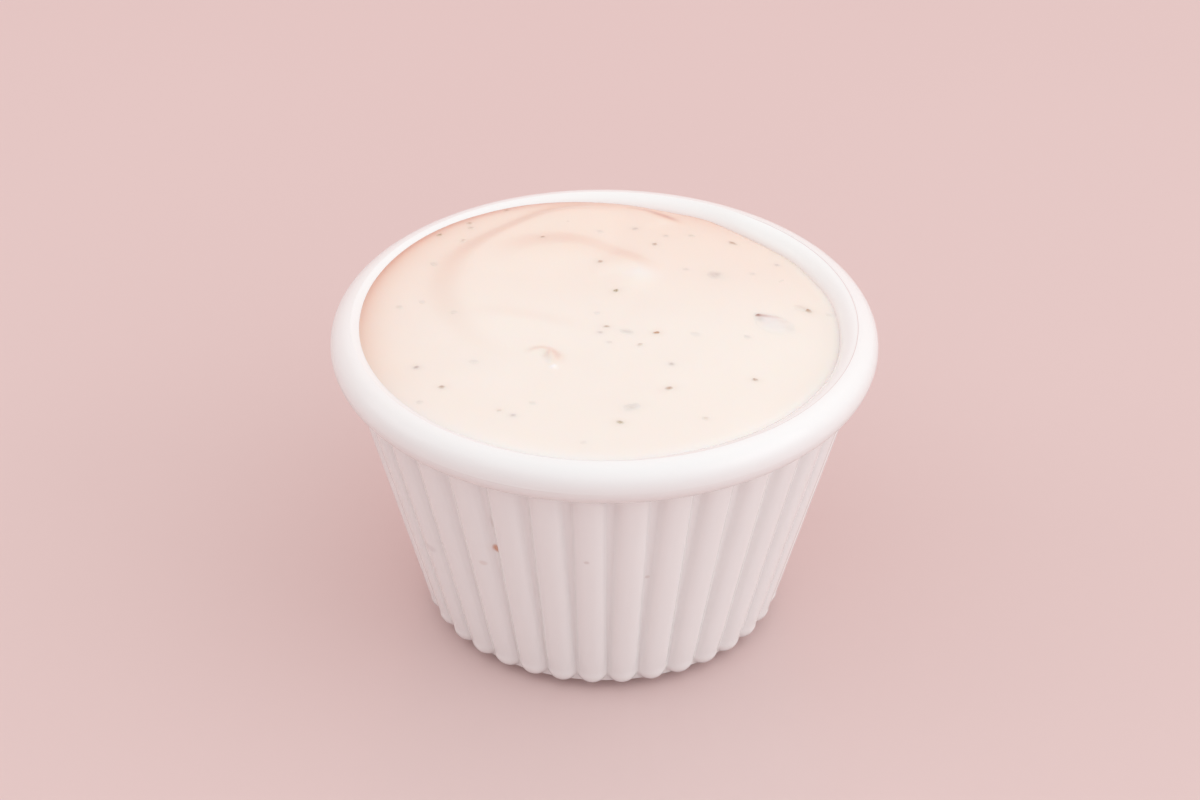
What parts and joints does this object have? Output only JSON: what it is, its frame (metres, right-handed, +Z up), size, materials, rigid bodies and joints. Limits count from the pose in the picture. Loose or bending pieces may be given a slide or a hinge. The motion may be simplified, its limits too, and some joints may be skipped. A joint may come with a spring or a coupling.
{
  "type": "garlic mayonnaise",
  "caption": "Garlic mayonnaise filling a small fluted white ramekin with a rounded rim, level with the rim.",
  "frame": {"origin": "on the ramekin's axis, at the plane its foot ring stands on", "axes": "+Z up along the ramekin's axis, -Y towards the front, +X towards the side where the filling is lowest"},
  "size_m": [0.073, 0.073, 0.0448],
  "materials": {
    "ramekin": "smooth glossy white melamine",
    "mayonnaise": "moist, softly glossy pale cream with fine dark specks"
  },
  "bodies": {
    "root": {"ramekin": "ramekin", "garlic_mayonnaise": "mayonnaise"}
  },
  "joints": []
}
